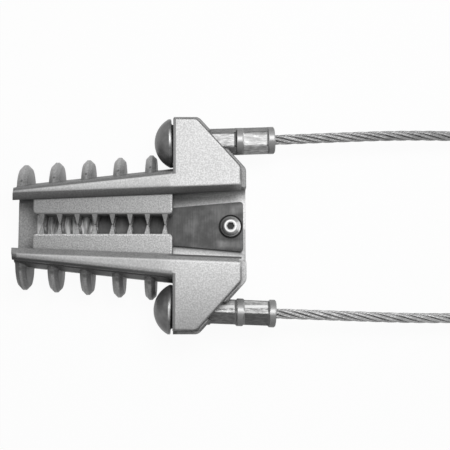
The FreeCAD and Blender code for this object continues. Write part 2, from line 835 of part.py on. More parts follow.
def build_head(label, side):
    """Mushroom head: domed cap, short rim band and a ball shoulder that seats in the ear."""
    body = doc.addObject("PartDesign::Body", label)
    body.Label = label
    profile = new_sketch(body, label + "_profile", "XZ_Plane")
    rise = "(dome_depth - dome_band)"
    cap = f"((pow(dome_radius; 2) + pow({rise}; 2)) / (2 * {rise}))"
    rim = "(dome_back - dome_band)"
    hole = "(sleeve_radius + fit_clearance)"
    shoulder_foot = "sqrt(pow(seat_radius; 2) - pow(dome_back; 2))"
    shoulder_end = f"sqrt(pow(seat_radius; 2) - pow({hole}; 2))"
    draw_outline(profile, [
        ("dome_back - dome_depth", "0"),
        ("sleeve_inset", "0"),
        ("sleeve_inset", hole),
        (shoulder_end, hole, "seat_radius"),
        ("dome_back", shoulder_foot),
        ("dome_back", "dome_radius"),
        (rim, "dome_radius", cap),
    ])
    turn = body.newObject("PartDesign::Revolution", label + "_turned")
    turn.Profile = profile
    turn.ReferenceAxis = (origin_axis(body, "X_Axis"), [""])
    turn.Angle = 360

    def band(edge, middle):
        return near(middle.x, size("dome_back")) and edge.Length > 2 * math.pi * size("dome_radius") - SLACK

    body.Tip = add_chamfer(body, turn, "dome_edge_bevel", band, label + "_band")
    place_terminal(body, side, "0")
    return body


def build_sleeve(label, side, roll):
    """Steel sleeve crimped on the rope in two hexagonal bites with collars between."""
    body = doc.addObject("PartDesign::Body", label)
    body.Label = label
    profile = new_sketch(body, label + "_profile", "XZ_Plane")
    bore = "(rope_radius + fit_clearance)"
    draw_outline(profile, [
        ("sleeve_inset", "0"),
        (f"{SLEEVE_END} - rope_depth", "0"),
        (f"{SLEEVE_END} - rope_depth", bore),
        (f"{SLEEVE_END} - sleeve_chamfer", bore),
        (SLEEVE_END, f"{bore} + sleeve_chamfer"),
        (SLEEVE_END, "sleeve_radius - sleeve_chamfer"),
        (f"{SLEEVE_END} - sleeve_chamfer", "sleeve_radius"),
        ("sleeve_inset", "sleeve_radius"),
    ])
    turn = body.newObject("PartDesign::Revolution", label + "_turned")
    turn.Profile = profile
    turn.ReferenceAxis = (origin_axis(body, "X_Axis"), [""])
    turn.Angle = 360
    flats = new_sketch(body, label + "_flats", "XZ_Plane", "0 - sleeve_radius")
    low = "crimp_flats / 2"
    high = "(sleeve_radius + crimp_run_out)"
    lean = f"crimp_slope * ({high} - {low})"
    last_end = f"({SLEEVE_END} - crimp_end_collar)"
    for finish in (f"({last_end} - crimp_length - crimp_gap)", last_end):
        start = f"({finish} - crimp_length)"
        draw_outline(flats, [
            (start, low),
            (finish, low),
            (f"{finish} + {lean}", high),
            (f"{start} - {lean}", high),
        ])
    bite = add_pocket(body, flats, "2 * sleeve_radius", label + "_bite")
    ring = body.newObject("PartDesign::PolarPattern", label + "_crimps")
    ring.Originals = [bite]
    ring.Axis = (origin_axis(body, "X_Axis"), [""])
    ring.Angle = 360
    ring.Occurrences = 6
    body.Tip = ring
    place_terminal(body, side, roll)
    return body


# Rope

def terminal_axis(side):
    """Ball centre and pointing direction of one terminal, measured from the narrow end."""
    centre = Vector(value_of(PIVOT_PLACE), side * value_of(PIVOT_SIDE), value_of(PIVOT_HEIGHT))
    turn = Rotation(side * size("splay_angle"), size("droop_angle"), 0)
    return centre, turn.multVec(Vector(1, 0, 0))


# Route of the rope beyond the sleeves, chosen by hand: half of it, from the left sleeve
# to the far end of the loop, then the other half. Distances are from the narrow end.
ROUTE_LEFT = [
    (182.0, 52.5, 19.6),
    (236.0, 54.4, 17.3),
    (283.0, 54.0, 12.6),
    (309.0, 42.2, 7.6),
    (325.0, 17.0, 3.9),
]
ROUTE_RIGHT = [
    (325.4, -15.0, 3.7),
    (309.8, -41.4, 7.3),
    (283.6, -54.2, 12.4),
    (236.0, -54.8, 17.1),
    (182.0, -52.7, 19.5),
]


def rope_points():
    """Corner points of the rope's centre line, from one sleeve's bore to the other's."""
    reach = value_of(f"{SLEEVE_END} - rope_depth")
    ends = []
    for side in (1, -1):
        centre, way = terminal_axis(side)
        ends.append(centre + way * reach)
    middle = [Vector(*point) for point in ROUTE_LEFT + ROUTE_RIGHT]
    return [ends[0]] + middle + [ends[1]]


def rope_path(points):
    """Straight runs joined by tangent arcs, each as large as its two runs allow."""
    edges = []
    start = points[0]
    for before, corner, after in zip(points, points[1:], points[2:]):
        way_in = (corner - before).normalize()
        way_out = (after - corner).normalize()
        turn = way_in.getAngle(way_out)
        setback = 0.45 * min((corner - before).Length, (after - corner).Length)
        radius = setback / math.tan(turn / 2)
        arc_start = corner - way_in * setback
        arc_end = corner + way_out * setback
        inward = (way_out - way_in).normalize()
        centre = corner + inward * (radius / math.cos(turn / 2))
        arc_middle = centre - inward * radius
        edges.append(Part.LineSegment(start, arc_start).toShape())
        edges.append(Part.Arc(arc_start, arc_middle, arc_end).toShape())
        print(f"rope turn {math.degrees(turn):.1f} degrees, radius {radius:.1f} mm")
        start = arc_end
    edges.append(Part.LineSegment(start, points[-1]).toShape())
    return Part.Wire(edges)


def build_rope():
    """Wire rope of the bail as one plain round tube along its route."""
    rope = doc.addObject("Part::Feature", "bail_rope")
    rope.Label = "bail_rope"
    points = rope_points()
    path = rope_path(points)
    way = (points[1] - points[0]).normalize()
    section = Part.Wire([Part.Circle(points[0], way, size("rope_radius")).toShape()])
    rope.Shape = path.makePipeShell([section], True, True)
    rope.Placement = Placement(Vector(-value_of(BODY_END) / 2, 0, 0), Rotation())
    expected = math.pi * size("rope_radius") ** 2 * path.Length
    print(f"rope length {path.Length:.1f} mm, volume {rope.Shape.Volume:.0f} of {expected:.0f} mm3")
    return rope


nodes = [
    build_casting(),
    build_jaw("wedge_jaw_left", 1),
    build_jaw("wedge_jaw_right", -1),
    build_plate(),
    build_washer(),
    build_screw(),
    build_head("bail_head_left", 1),
    build_head("bail_head_right", -1),
    build_sleeve("bail_sleeve_left", 1, "0"),
    build_sleeve("bail_sleeve_right", -1, "30"),
    build_rope(),
]
doc.recompute()

# Checks before anything is written

for item in doc.Objects:
    if "Invalid" in item.State or "Error" in item.State:
        raise RuntimeError(f"{item.Name} did not build: {item.State}")
for node in nodes:
    shape = node.Shape
    if shape.isNull() or not shape.isValid():
        raise RuntimeError(f"{node.Label} has no valid shape")

os.makedirs("parts", exist_ok=True)
for node in nodes:
    node.Shape.exportStep(f"parts/{node.Label}.step")
    box = node.Shape.BoundBox
    print(f"{node.Label}: solids {len(node.Shape.Solids)}, volume {node.Shape.Volume:.1f} mm3,"
          f" x {box.XMin:.1f} to {box.XMax:.1f}, y {box.YMin:.1f} to {box.YMax:.1f},"
          f" z {box.ZMin:.1f} to {box.ZMax:.1f}")
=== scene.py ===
import math

import bpy
from mathutils import Matrix, Vector


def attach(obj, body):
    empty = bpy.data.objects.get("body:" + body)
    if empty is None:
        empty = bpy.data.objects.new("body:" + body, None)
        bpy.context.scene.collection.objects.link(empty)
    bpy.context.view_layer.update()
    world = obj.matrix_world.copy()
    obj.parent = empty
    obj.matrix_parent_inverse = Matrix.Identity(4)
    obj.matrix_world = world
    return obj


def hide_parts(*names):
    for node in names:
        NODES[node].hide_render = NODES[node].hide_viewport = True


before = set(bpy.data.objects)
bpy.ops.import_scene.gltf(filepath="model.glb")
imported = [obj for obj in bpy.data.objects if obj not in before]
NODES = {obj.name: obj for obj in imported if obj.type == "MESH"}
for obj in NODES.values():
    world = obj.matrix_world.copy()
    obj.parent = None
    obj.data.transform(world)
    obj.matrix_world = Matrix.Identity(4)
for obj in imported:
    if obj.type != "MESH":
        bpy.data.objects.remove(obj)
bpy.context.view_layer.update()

# Wedge anchor clamp on a pale floor, lying on its hoop ribs, seen from above.
# X runs from the narrow cable end to the bail, Y across the clamp and Z up. Lengths in metres.

FULL_TURN = 2 * math.pi

IMAGE_SIDE = 450
SENSOR_WIDTH = 36.0
FOCAL_PIXELS = 912.0
CAMERA_TARGET = Vector((0.0547, -0.0011, 0.038))
CAMERA_SIDE = Vector((-0.0142, -0.1036, 1.0))
CAMERA_DISTANCE = 0.520

ROPE_DIAMETER = 0.006
ROPE_CURVE_STEPS = 24
ROPE_POINTS_PER_WIRE = 4
ROPE_ROUTE = [
    (0.06428, 0.05055, 0.02131),
    (0.11485, 0.05310, 0.01960),
    (0.16885, 0.05540, 0.01730),
    (0.21585, 0.05490, 0.01260),
    (0.24185, 0.04220, 0.00760),
    (0.25785, 0.01700, 0.00390),
    (0.25825, -0.01500, 0.00370),
    (0.24265, -0.04140, 0.00730),
    (0.21645, -0.05370, 0.01240),
    (0.16885, -0.05430, 0.01710),
    (0.11485, -0.05240, 0.01950),
    (0.06428, -0.05055, 0.02131),
]


def link(thing):
    """Put an object into the scene."""
    bpy.context.scene.collection.objects.link(thing)
    return thing


# Camera

def make_camera():
    """Camera above the ears, set a little towards the lower side of the picture."""
    data = bpy.data.cameras.new("camera")
    camera = link(bpy.data.objects.new("camera", data))
    data.sensor_width = SENSOR_WIDTH
    data.lens = SENSOR_WIDTH * FOCAL_PIXELS / IMAGE_SIDE
    data.clip_start = 0.01
    data.clip_end = 20
    away = CAMERA_SIDE.normalized()
    across = Vector((1, 0, 0))
    across = (across - away * across.dot(away)).normalized()
    upward = away.cross(across)
    turn = Matrix((across, upward, away)).transposed().to_4x4()
    camera.matrix_world = Matrix.Translation(CAMERA_TARGET + away * CAMERA_DISTANCE) @ turn
    bpy.context.scene.camera = camera


# Node helpers

def place(tree, kind, sockets=None, **settings):
    """Add a node, set it up and link or fill its inputs."""
    node = tree.nodes.new(kind)
    for name, value in settings.items():
        setattr(node, name, value)
    for key, value in (sockets or {}).items():
        socket = node.inputs[key]
        if isinstance(value, bpy.types.NodeSocket):
            tree.links.new(value, socket)
        else:
            socket.default_value = value
    return node


def sums(tree, operation, first, second=0.0, third=0.0):
    """Result of one sum on two or three values."""
    sockets = {0: first, 1: second, 2: third}
    return place(tree, "ShaderNodeMath", sockets, operation=operation).outputs[0]


def vectors(tree, operation, first, second=None):
    """Result of one vector operation."""
    sockets = {0: first}
    if second is not None:
        sockets["Scale" if operation == "SCALE" else 1] = second
    node = place(tree, "ShaderNodeVectorMath", sockets, operation=operation)
    return node.outputs["Value" if operation in ("DOT_PRODUCT", "LENGTH") else "Vector"]


def ranged(tree, value, low, high, start=0.0, end=1.0, smooth=False):
    """Value moved from one range to another, held at its ends."""
    return place(tree, "ShaderNodeMapRange", {
        "Value": value, "From Min": low, "From Max": high, "To Min": start, "To Max": end},
        interpolation_type="SMOOTHSTEP" if smooth else "LINEAR").outputs[0]


def new_group(name, kind, inputs, outputs):
    """Node group with named inputs and outputs."""
    group = bpy.data.node_groups.new(name, kind)
    for title, socket_type, value in inputs:
        socket = group.interface.new_socket(title, in_out="INPUT", socket_type=socket_type)
        if value is not None:
            socket.default_value = value
    for title, socket_type in outputs:
        group.interface.new_socket(title, in_out="OUTPUT", socket_type=socket_type)
    entry = group.nodes.new("NodeGroupInput")
    finish = group.nodes.new("NodeGroupOutput")
    return group, entry.outputs, finish.inputs


# Rope

def rope_strand_nodes(material):
    """Strands that wind round a line, each a bundle of wires that winds the other way."""
    number = "NodeSocketFloat"
    tree, given, result = new_group("rope_strands", "GeometryNodeTree", [
        ("Line", "NodeSocketGeometry", None),
        ("Rope Radius", number, ROPE_DIAMETER / 2),
        ("Strand Radius", number, 0.00103),
        ("Lay Length", number, 0.052),
        ("Wire Lay Length", number, 0.019),
        ("Wire Depth", number, 0.11),
        ("Step", number, 0.0011),
        ("Strands", "NodeSocketInt", 6),
        ("Wires", "NodeSocketInt", 8),
    ], [("Rope", "NodeSocketGeometry")])
    curve = place(tree, "GeometryNodeMeshToCurve", {"Mesh": given["Line"]}).outputs[0]
    curve = place(tree, "GeometryNodeResampleCurve", {
        "Curve": curve, "Length": given["Step"]}, mode="LENGTH")
    flat = place(tree, "GeometryNodeSetCurveNormal", {"Curve": curve.outputs[0]}, mode="Z_UP")

    copies = place(tree, "GeometryNodeDuplicateElements", {
        "Geometry": flat.outputs[0], "Amount": given["Strands"]}, domain="SPLINE")
    along = place(tree, "GeometryNodeSplineParameter").outputs["Length"]
    turns = sums(tree, "DIVIDE", along, given["Lay Length"])
    share = sums(tree, "DIVIDE", copies.outputs["Duplicate Index"], given["Strands"])
    angle = sums(tree, "MULTIPLY", sums(tree, "ADD", turns, share), FULL_TURN)
    normal = place(tree, "GeometryNodeInputNormal").outputs[0]
    tangent = place(tree, "GeometryNodeInputTangent").outputs[0]
    side = vectors(tree, "CROSS_PRODUCT", tangent, normal)
    reach = sums(tree, "SUBTRACT", given["Rope Radius"], given["Strand Radius"])
    up = sums(tree, "MULTIPLY", reach, sums(tree, "COSINE", angle))
    out = sums(tree, "MULTIPLY", reach, sums(tree, "SINE", angle))
    offset = vectors(tree, "ADD", vectors(tree, "SCALE", normal, up), vectors(tree, "SCALE", side, out))
    moved = place(tree, "GeometryNodeSetPosition", {
        "Geometry": copies.outputs[0], "Offset": offset})
    wire_turns = sums(tree, "DIVIDE", along, given["Wire Lay Length"])
    twist = sums(tree, "MULTIPLY", wire_turns, -FULL_TURN)
    tilted = place(tree, "GeometryNodeSetCurveTilt", {"Curve": moved.outputs[0], "Tilt": twist})

    points = sums(tree, "MULTIPLY", given["Wires"], ROPE_POINTS_PER_WIRE)
    circle = place(tree, "GeometryNodeCurvePrimitiveCircle", {"Resolution": points, "Radius": 1.0})
    around = place(tree, "GeometryNodeSplineParameter").outputs["Factor"]
    wires_round = sums(tree, "MULTIPLY", around, given["Wires"])
    lobe = sums(tree, "COSINE", sums(tree, "MULTIPLY", wires_round, FULL_TURN))
    height = sums(tree, "MULTIPLY", sums(tree, "SUBTRACT", lobe, 1.0), given["Wire Depth"])
    size = sums(tree, "MULTIPLY", sums(tree, "ADD", height, 1.0), given["Strand Radius"])
    on_circle = place(tree, "GeometryNodeInputPosition").outputs[0]
    profile = place(tree, "GeometryNodeSetPosition", {
        "Geometry": circle.outputs[0], "Position": vectors(tree, "SCALE", on_circle, size)})
    strands = place(tree, "GeometryNodeCurveToMesh", {
        "Curve": tilted.outputs[0], "Profile Curve": profile.outputs[0], "Fill Caps": True})

    heart = place(tree, "GeometryNodeCurvePrimitiveCircle", {
        "Resolution": 8, "Radius": given["Strand Radius"]})
    core = place(tree, "GeometryNodeCurveToMesh", {
        "Curve": flat.outputs[0], "Profile Curve": heart.outputs[0], "Fill Caps": True})
    joined = place(tree, "GeometryNodeJoinGeometry")
    tree.links.new(core.outputs[0], joined.inputs[0])
    tree.links.new(strands.outputs[0], joined.inputs[0])
    smooth = place(tree, "GeometryNodeSetShadeSmooth", {"Geometry": joined.outputs[0]})
    real = place(tree, "GeometryNodeRealizeInstances", {"Geometry": smooth.outputs[0]})
    painted = place(tree, "GeometryNodeSetMaterial", {
        "Geometry": real.outputs[0], "Material": material})
    tree.links.new(painted.outputs[0], result["Rope"])
    return tree


def evaluated_mesh(thing):
    """Plain mesh of an object as its modifiers or curve settings make it."""
    bpy.context.view_layer.update()
    depsgraph = bpy.context.evaluated_depsgraph_get()
    made = thing.evaluated_get(depsgraph)
    return bpy.data.meshes.new_from_object(made, depsgraph=depsgraph)


def make_rope(material):
    """Stranded wire rope of the bail, from one sleeve's bore to the other's."""
    data = bpy.data.curves.new("bail_rope_route", "CURVE")
    data.dimensions = "3D"
    data.resolution_u = ROPE_CURVE_STEPS
    spline = data.splines.new("NURBS")
    spline.points.add(len(ROPE_ROUTE) - 1)
    for point, corner in zip(spline.points, ROPE_ROUTE):
        point.co = (*corner, 1.0)
    spline.order_u = 3
    spline.use_endpoint_u = True
    route = link(bpy.data.objects.new("bail_rope_route", data))
    line = evaluated_mesh(route)
    bpy.data.objects.remove(route)

    rope = link(bpy.data.objects.new("bail_rope_strands", line))
    wound = rope.modifiers.new("strands", "NODES")
    wound.node_group = rope_strand_nodes(material)
    strands = evaluated_mesh(rope)
    rope.modifiers.clear()
    rope.data = strands
    strands.name = "bail_rope_strands"
    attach(rope, "bail")
    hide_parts("bail_rope")


# Effects that several finishes share

def make_grain_group():
    """Fine blasted or cast grain, with broad soft patches."""
    number = "NodeSocketFloat"
    tree, given, result = new_group("grain", "ShaderNodeTree", [
        ("Grain Size", number, 0.0008),
        ("Patch Size", number, 0.012),
    ], [("Grain", number), ("Patches", number), ("Sparkle", number)])
    here = place(tree, "ShaderNodeTexCoord").outputs["Object"]
    fine = sums(tree, "DIVIDE", 1.0, given["Grain Size"])
    broad = sums(tree, "DIVIDE", 1.0, given["Patch Size"])
    grain = place(tree, "ShaderNodeTexNoise", {
        "Vector": here, "Scale": fine, "Detail": 2.0, "Roughness": 0.6})
    patches = place(tree, "ShaderNodeTexNoise", {
        "Vector": here, "Scale": broad, "Detail": 3.0, "Roughness": 0.55})
    cells = place(tree, "ShaderNodeTexVoronoi", {"Vector": here, "Scale": fine})
    sparkle = ranged(tree, cells.outputs["Distance"], 0.05, 0.3, 1.0, 0.0)
    tree.links.new(grain.outputs[0], result["Grain"])
    tree.links.new(patches.outputs[0], result["Patches"])
    tree.links.new(sparkle, result["Sparkle"])
    return tree


def make_wear_group():
    """Masks for worn outer edges and for painted shade in inner corners, with the soft normal and which way
    it faces.
    """
    number = "NodeSocketFloat"
    tree, given, result = new_group("edge_wear", "ShaderNodeTree", [
        ("Edge Width", number, 0.0006),
        ("Corner Reach", number, 0.006),
    ], [("Edges", number), ("Corner Shade", number), ("Soft Normal", "NodeSocketVector"),
        ("Facing Front", number), ("Facing Side", number), ("Facing End", number)])
    soft = place(tree, "ShaderNodeBevel", {"Radius": given["Edge Width"]}, samples=4)
    plain = place(tree, "ShaderNodeNewGeometry").outputs["Normal"]
    same = vectors(tree, "DOT_PRODUCT", soft.outputs[0], plain)
    edges = ranged(tree, same, 0.995, 0.85)
    # Painted shade: ambient occlusion gives the corner mask that darkens colours in corners and hollows.
    open_air = place(tree, "ShaderNodeAmbientOcclusion", {
        "Distance": given["Corner Reach"]}, samples=8)
    corners = sums(tree, "SUBTRACT", 1.0, open_air.outputs["AO"])
    own = place(tree, "ShaderNodeVectorTransform", {"Vector": soft.outputs[0]},
                vector_type="NORMAL", convert_from="WORLD", convert_to="OBJECT").outputs[0]
    parts = place(tree, "ShaderNodeSeparateXYZ", {"Vector": own}).outputs
    tree.links.new(parts["Z"], result["Facing Front"])
    tree.links.new(parts["Y"], result["Facing Side"])
    tree.links.new(parts["X"], result["Facing End"])
    tree.links.new(edges, result["Edges"])
    tree.links.new(corners, result["Corner Shade"])
    tree.links.new(soft.outputs[0], result["Soft Normal"])
    return tree


def make_streak_group():
    """Fine parallel rubbing marks, long along one axis and narrow across the others."""
    number = "NodeSocketFloat"
    tree, given, result = new_group("streaks", "ShaderNodeTree", [
        ("Stretch", "NodeSocketVector", (1.0, 1.0, 1.0)),
        ("Streak Width", number, 0.0004),
    ], [("Streaks", number)])
    here = place(tree, "ShaderNodeTexCoord").outputs["Object"]
    pulled = vectors(tree, "MULTIPLY", here, given["Stretch"])
    marks = place(tree, "ShaderNodeTexNoise", {
        "Vector": pulled, "Scale": sums(tree, "DIVIDE", 1.0, given["Streak Width"]),
        "Detail": 3.0, "Roughness": 0.6})
    tree.links.new(marks.outputs[0], result["Streaks"])
    return tree


GRAIN = make_grain_group()
WEAR = make_wear_group()
STREAKS = make_streak_group()


# Finishes
#
# One soft lamp nearly overhead shows little of the slopes, so their light and shade are painted into the
# colours by place and facing on the part.

# Lines across the casting, as a start at its narrow end and a growth with the way along
CAST_START = -0.06715
CREST_LINE = (0.0184, 0.1086)
MOUTH_LINE = (0.0172, 0.0402)
PLATE_LINE = (0.00308, 0.0892)

# Places along the casting and the sleeves, each as the start and the end of a change or a band
SCRATCHED_FLOOR = (-0.0560, -0.0220)
EARS_START = (0.016, 0.030)
RIBS_END = (0.020, 0.022)
OPEN_END = (0.020, 0.026)
RAILS_END = (0.0225, 0.0245)
EARS_NEAR_EDGE = (0.0246, 0.0264)
NEAR_COLLAR = (0.0623, 0.0660)
FAR_COLLAR = (0.0806, 0.0850)

# Hoop ribs from the casting's start, the pits beside their foot and the screw on the part's middle line
FIRST_RIB_MIDDLE = 0.00405
RIB_PITCH = 0.0186
PIT_PLACE = 0.0066
SCREW_PLACE = 0.05825


def new_finish(name, metallic, roughness):
    """Material with one metal shader, and its node tree."""
    material = bpy.data.materials.new(name)
    material.use_nodes = True
    tree = material.node_tree
    shader = tree.nodes["Principled BSDF"]
    shader.inputs["Metallic"].default_value = metallic
    shader.inputs["Roughness"].default_value = roughness
    return material, tree, shader


def use_group(tree, group, **values):
    """Place a shared effect, its inputs given by name with underscores for spaces."""
    sockets = {name.replace("_", " "): value for name, value in values.items()}
    return place(tree, "ShaderNodeGroup", sockets, node_tree=group).outputs


def place_on_part(tree):
    """Place on the part along its own axes."""
    here = place(tree, "ShaderNodeTexCoord").outputs["Object"]
    return place(tree, "ShaderNodeSeparateXYZ", {"Vector": here}).outputs


def beyond(tree, here, line):
    """How far out a place lies from a line that spreads as it runs along the part."""
    start, growth = line
    along = sums(tree, "SUBTRACT", here["X"], CAST_START)
    edge = sums(tree, "MULTIPLY_ADD", along, growth, start)
    return sums(tree, "SUBTRACT", sums(tree, "ABSOLUTE", here["Y"]), edge)


def fading(tree, value, low, high):
    """Mask that is full below one value and gone above the next."""
    return ranged(tree, value, low, high, 1.0, 0.0)


def opposite(tree, mask):
    """Mask that is full where another is empty."""
    return sums(tree, "SUBTRACT", 1.0, mask)


def all_of(tree, first, *others):
    """Mask that is full only where each of the given masks is."""
    for other in others:
        first = sums(tree, "MULTIPLY", first, other)
    return first


def within(tree, value, low, high, soft=0.0003):
    """Mask that is full between two values and fades out beyond them."""
    return all_of(tree, ranged(tree, value, low - soft, low), fading(tree, value, high, high + soft))


def between(tree, factor, first, second):
    """Value between two others."""
    return place(tree, "ShaderNodeMix", {0: factor, 2: first, 3: second}).outputs[0]


def grey(level):
    """Neutral colour of one level."""
    return (level, level, level, 1)


def greys(tree, value, stops):
    """Ramp from a value to greys, as pairs of a place and a grey."""
    ramp = place(tree, "ShaderNodeValToRGB", {0: value})
    while len(ramp.color_ramp.elements) < len(stops):
        ramp.color_ramp.elements.new(0.5)
    for element, (position, level) in zip(ramp.color_ramp.elements, stops):
        element.position = position
        element.color = grey(level)
    return ramp.outputs[0]


def mixed(tree, factor, first, second, blend="MIX"):
    """Colour between two others."""
    node = place(tree, "ShaderNodeMix", {0: factor, 6: first, 7: second},
                 data_type="RGBA", blend_type=blend)
    return node.outputs[2]


def toned(tree, colour, tone):
    """Colour made darker or lighter by a value or another colour."""
    return mixed(tree, 1.0, colour, tone, "MULTIPLY")


def toned_at(tree, colour, mask, tone):
    """Colour made darker or lighter where a mask is full."""
    return toned(tree, colour, between(tree, mask, 1.0, tone))


def laid_on(tree, colour, mask, share, level):
    """Colour with a share of one grey laid over it where a mask is full."""
    return mixed(tree, sums(tree, "MULTIPLY", mask, share), colour, grey(level))


def bump(tree, shader, height, depth, normal=None):
    """Fine relief of a surface."""
    node = place(tree, "ShaderNodeBump", {"Height": height, "Distance": depth, "Strength": 1.0})
    if normal is not None:
        tree.links.new(normal, node.inputs["Normal"])
    tree.links.new(node.outputs[0], shader.inputs["Normal"])


class CastPlaces:
    """What the casting's finish goes by: place, height, facing, grain and the parts it is made of."""

    def __init__(self, tree):
        self.grain = use_group(tree, GRAIN, Grain_Size=0.0009, Patch_Size=0.014)
        self.wear = use_group(tree, WEAR, Edge_Width=0.0012, Corner_Reach=0.009)
        self.front = self.wear["Facing Front"]
        here = place_on_part(tree)
        self.along, self.side, self.height = here["X"], here["Y"], here["Z"]
        self.past_crest = beyond(tree, here, CREST_LINE)
        self.past_mouth = beyond(tree, here, MOUTH_LINE)
        self.past_plate = beyond(tree, here, PLATE_LINE)
        self.inside = fading(tree, self.past_mouth, -0.0004, 0.0004)
        self.lower = fading(tree, self.side, -0.002, 0.0)
        self.on_rail = fading(tree, self.along, *RAILS_END)
        self.open_end = ranged(tree, self.along, *OPEN_END)


def pits(tree, at):
    """Mask of small round pits in the tops of the hoop ribs, beside the wall, where their shade is painted
    dark.
    """
    along = sums(tree, "SUBTRACT", at.along, CAST_START + FIRST_RIB_MIDDLE)
    along = sums(tree, "WRAP", along, RIB_PITCH / 2, -RIB_PITCH / 2)
    across = sums(tree, "SUBTRACT", at.past_crest, PIT_PLACE)
    away = place(tree, "ShaderNodeCombineXYZ", {0: along, 1: across}).outputs[0]
    reach = ranged(tree, at.side, -0.01, 0.01, 0.0018, 0.0010)
    hole = opposite(tree, sums(tree, "DIVIDE", vectors(tree, "LENGTH", away), reach))
    return all_of(tree, ranged(tree, hole, 0.0, 0.7), ranged(tree, at.front, 0.4, 0.6), at.on_rail)


def cast_painted_falloff(tree, at):
    """Painted shade: share of brightness that falls off towards the lower side of the picture, as the
    lamp's light does.
    """
    rail = ranged(tree, at.side, -0.015, 0.005, 0.83, 1.0)
    ear = all_of(tree, ranged(tree, at.side, -0.058, -0.022, 0.53, 1.02),
                 ranged(tree, at.side, -0.02, 0.02, 1.0, 0.95))
    return between(tree, ranged(tree, at.along, 0.015, 0.030), rail, ear)


def cast_painted_facing_shade(tree, at):
    """Painted shade by facing: share of brightness of the rails' slopes, the channel's bevels and the hoop
    ribs' ends, darker by which way they face and on the lower side.
    """
    beside_rail = fading(tree, at.past_crest, 0.0049, 0.0053)
    on_rib = all_of(tree, opposite(tree, beside_rail), fading(tree, at.along, *RIBS_END))

    # Painted shade on the channel's bevels, by place along the part and height.
    bevel = all_of(tree, ranged(tree, at.along, -0.05, 0.035, 0.36, 0.26),
                   ranged(tree, at.along, 0.026, 0.032, 1.0, 0.80),
                   ranged(tree, at.height, 0.0342, 0.0376, 0.45, 1.25),
                   ranged(tree, at.along, 0.0585, 0.0635, 1.0, 3.0))
    slope = between(tree, at.inside, ranged(tree, at.along, -0.015, 0.012, 0.09, 0.30), bevel)
    # Painted shade on the slopes beside the rails that turn down or up.
    turned_down = all_of(tree, ranged(tree, at.wear["Facing Side"], -0.08, -0.40), beside_rail)
    turned_up = all_of(tree, ranged(tree, at.wear["Facing Side"], 0.10, 0.45),
                       opposite(tree, at.inside), beside_rail)
    tone = between(tree, turned_down, 1.0, slope)
    tone = between(tree, turned_up, tone, 0.62)

    # Painted shade on the hoop ribs' ends and on the lower ribs.
    rib_end = all_of(tree, ranged(tree, at.wear["Facing End"], 0.35, 0.75), on_rib)
    tone = between(tree, rib_end, tone, between(tree, at.lower, 0.80, 0.36))
    out = ranged(tree, at.past_crest, 0.0052, 0.0125)
    upper_rib = sums(tree, "MULTIPLY_ADD", out, 0.50, 0.84)
    lower_rib = sums(tree, "MULTIPLY_ADD", out, 0.34, 0.90)
    rib_tone = between(tree, on_rib, 1.0, between(tree, at.lower, upper_rib, lower_rib))
    return all_of(tree, tone, rib_tone)


def cast_front(tree, at):
    """Fronts of rails and ears brighter than below them and on the walls, partly a blasted finish and
    partly painted light and shade by facing and height, with painted highlights on lit edges and along the
    upper rail's crest, and painted shade on that rail towards its mouth and narrow end.
    """
    grain = at.grain["Grain"]
    ear = greys(tree, grain, [(0.34, 0.56), (0.5, 0.66), (0.62, 0.80)])
    crest = greys(tree, grain, [(0.32, 0.52), (0.5, 0.61), (0.66, 0.72)])
    bright = mixed(tree, ranged(tree, at.along, *EARS_START), crest, ear)
    # Painted highlight where an edge turns towards the lamp's side.
    lit_side = all_of(tree, ranged(tree, at.wear["Facing Side"], 0.04, 0.20),
                      ranged(tree, at.front, 0.80, 0.92))
    bright = mixed(tree, lit_side, bright, grey(0.98))

    upper_rail = all_of(tree, opposite(tree, at.lower), at.on_rail)
    # Painted highlight along the upper rail's crest, and painted shade on that rail towards its mouth and
    # its narrow end.
    bright_line = all_of(tree, within(tree, at.past_crest, -0.0011, -0.0003), upper_rail)
    bright = toned_at(tree, bright, bright_line, 1.1)
    from_mouth = ranged(tree, at.past_mouth, 0.0, 0.0024, 0.64, 1.0)
    bright = toned_at(tree, bright, upper_rail, from_mouth)
    from_narrow_end = ranged(tree, at.along, -0.060, -0.015, 0.78, 0.92)
    bright = toned_at(tree, bright, upper_rail, from_narrow_end)

    on_crest = between(tree, at.lower, fading(tree, at.past_crest, -0.0003, 0.0003),
                       fading(tree, at.past_crest, -0.0018, -0.0006))
    on_crest = sums(tree, "MAXIMUM", on_crest, ranged(tree, at.along, 0.0240, 0.0255))
    rough_flat = greys(tree, grain, [(0.32, 0.26), (0.5, 0.34), (0.68, 0.44)])
    rough_wall = greys(tree, grain, [(0.32, 0.28), (0.5, 0.36), (0.68, 0.44)])
    outer_edge = toned_at(tree, rough_wall, upper_rail, 0.48)
    # Painted shade, partly a duller cast skin: flats below the front height and faces turned from the front
    # take the darker greys.
    top = ranged(tree, at.height, 0.0362, 0.0376)
    flat = mixed(tree, top, rough_flat, mixed(tree, on_crest, outer_edge, bright))
    level = ranged(tree, at.front, 0.80, 0.985, smooth=True)
    return mixed(tree, level, rough_wall, flat)


